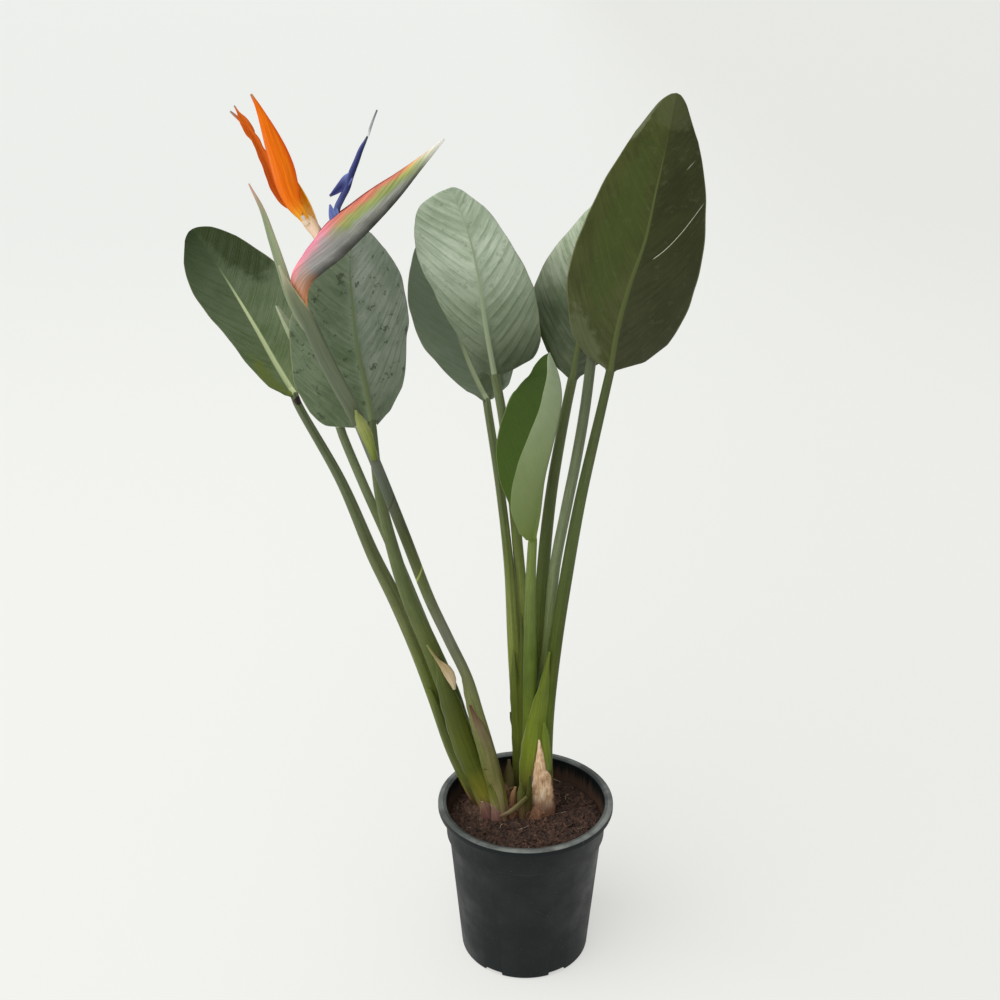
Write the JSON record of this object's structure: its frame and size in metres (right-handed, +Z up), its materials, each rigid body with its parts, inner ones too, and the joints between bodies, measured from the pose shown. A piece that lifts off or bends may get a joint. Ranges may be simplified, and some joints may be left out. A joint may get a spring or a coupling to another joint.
{
  "type": "potted bird of paradise plant",
  "caption": "Bird of paradise plant in a dark nursery pot, with two fans of paddle leaves, an open orange and blue flower, and soil.",
  "frame": {"origin": "centre of the flat underside of the pot, on the surface that it stands on", "axes": "+Z up the plant, +X to the right and +Y to the back as seen from the side that the flower faces"},
  "size_m": [0.5463, 0.2268, 1.0334],
  "materials": {
    "pot": "satin",
    "soil": "matte",
    "rootstock": "matte",
    "leaf_dark": "satin",
    "leaf_grey": "satin",
    "leaf_young": "satin",
    "leaf_folded": "satin",
    "leaf_olive": "satin",
    "stalk": "satin",
    "bract": "satin",
    "spathe": "satin",
    "pedicel": "satin",
    "sepal": "satin",
    "petal": "satin",
    "stigma": "satin",
    "dry_sheath": "matte",
    "old_sheath": "matte"
  },
  "bodies": {
    "root": {"pot": "pot", "soil": "soil", "rootstock": "rootstock", "leaf_far_left": "leaf_dark", "leaf_middle_back": "leaf_dark", "leaf_left": "leaf_grey", "leaf_middle": "leaf_grey", "leaf_right_back": "leaf_grey", "leaf_left_young": "leaf_young", "leaf_folded": "leaf_folded", "leaf_right_tall": "leaf_olive", "flower_stalk": "stalk", "bud_stalk": "stalk", "bud_spathe": "bract", "bract_long": "bract", "bract_short": "bract", "spathe": "spathe", "flower_pedicel": "pedicel", "sepal_front": "sepal", "sepal_side": "sepal", "sepal_back": "sepal", "petal_arrow": "petal", "petal_nectary": "petal", "stigma": "stigma", "dry_sheath_front": "dry_sheath", "old_sheath_middle": "old_sheath", "old_sheath_left": "old_sheath", "old_sheath_low": "old_sheath"}
  },
  "joints": []
}
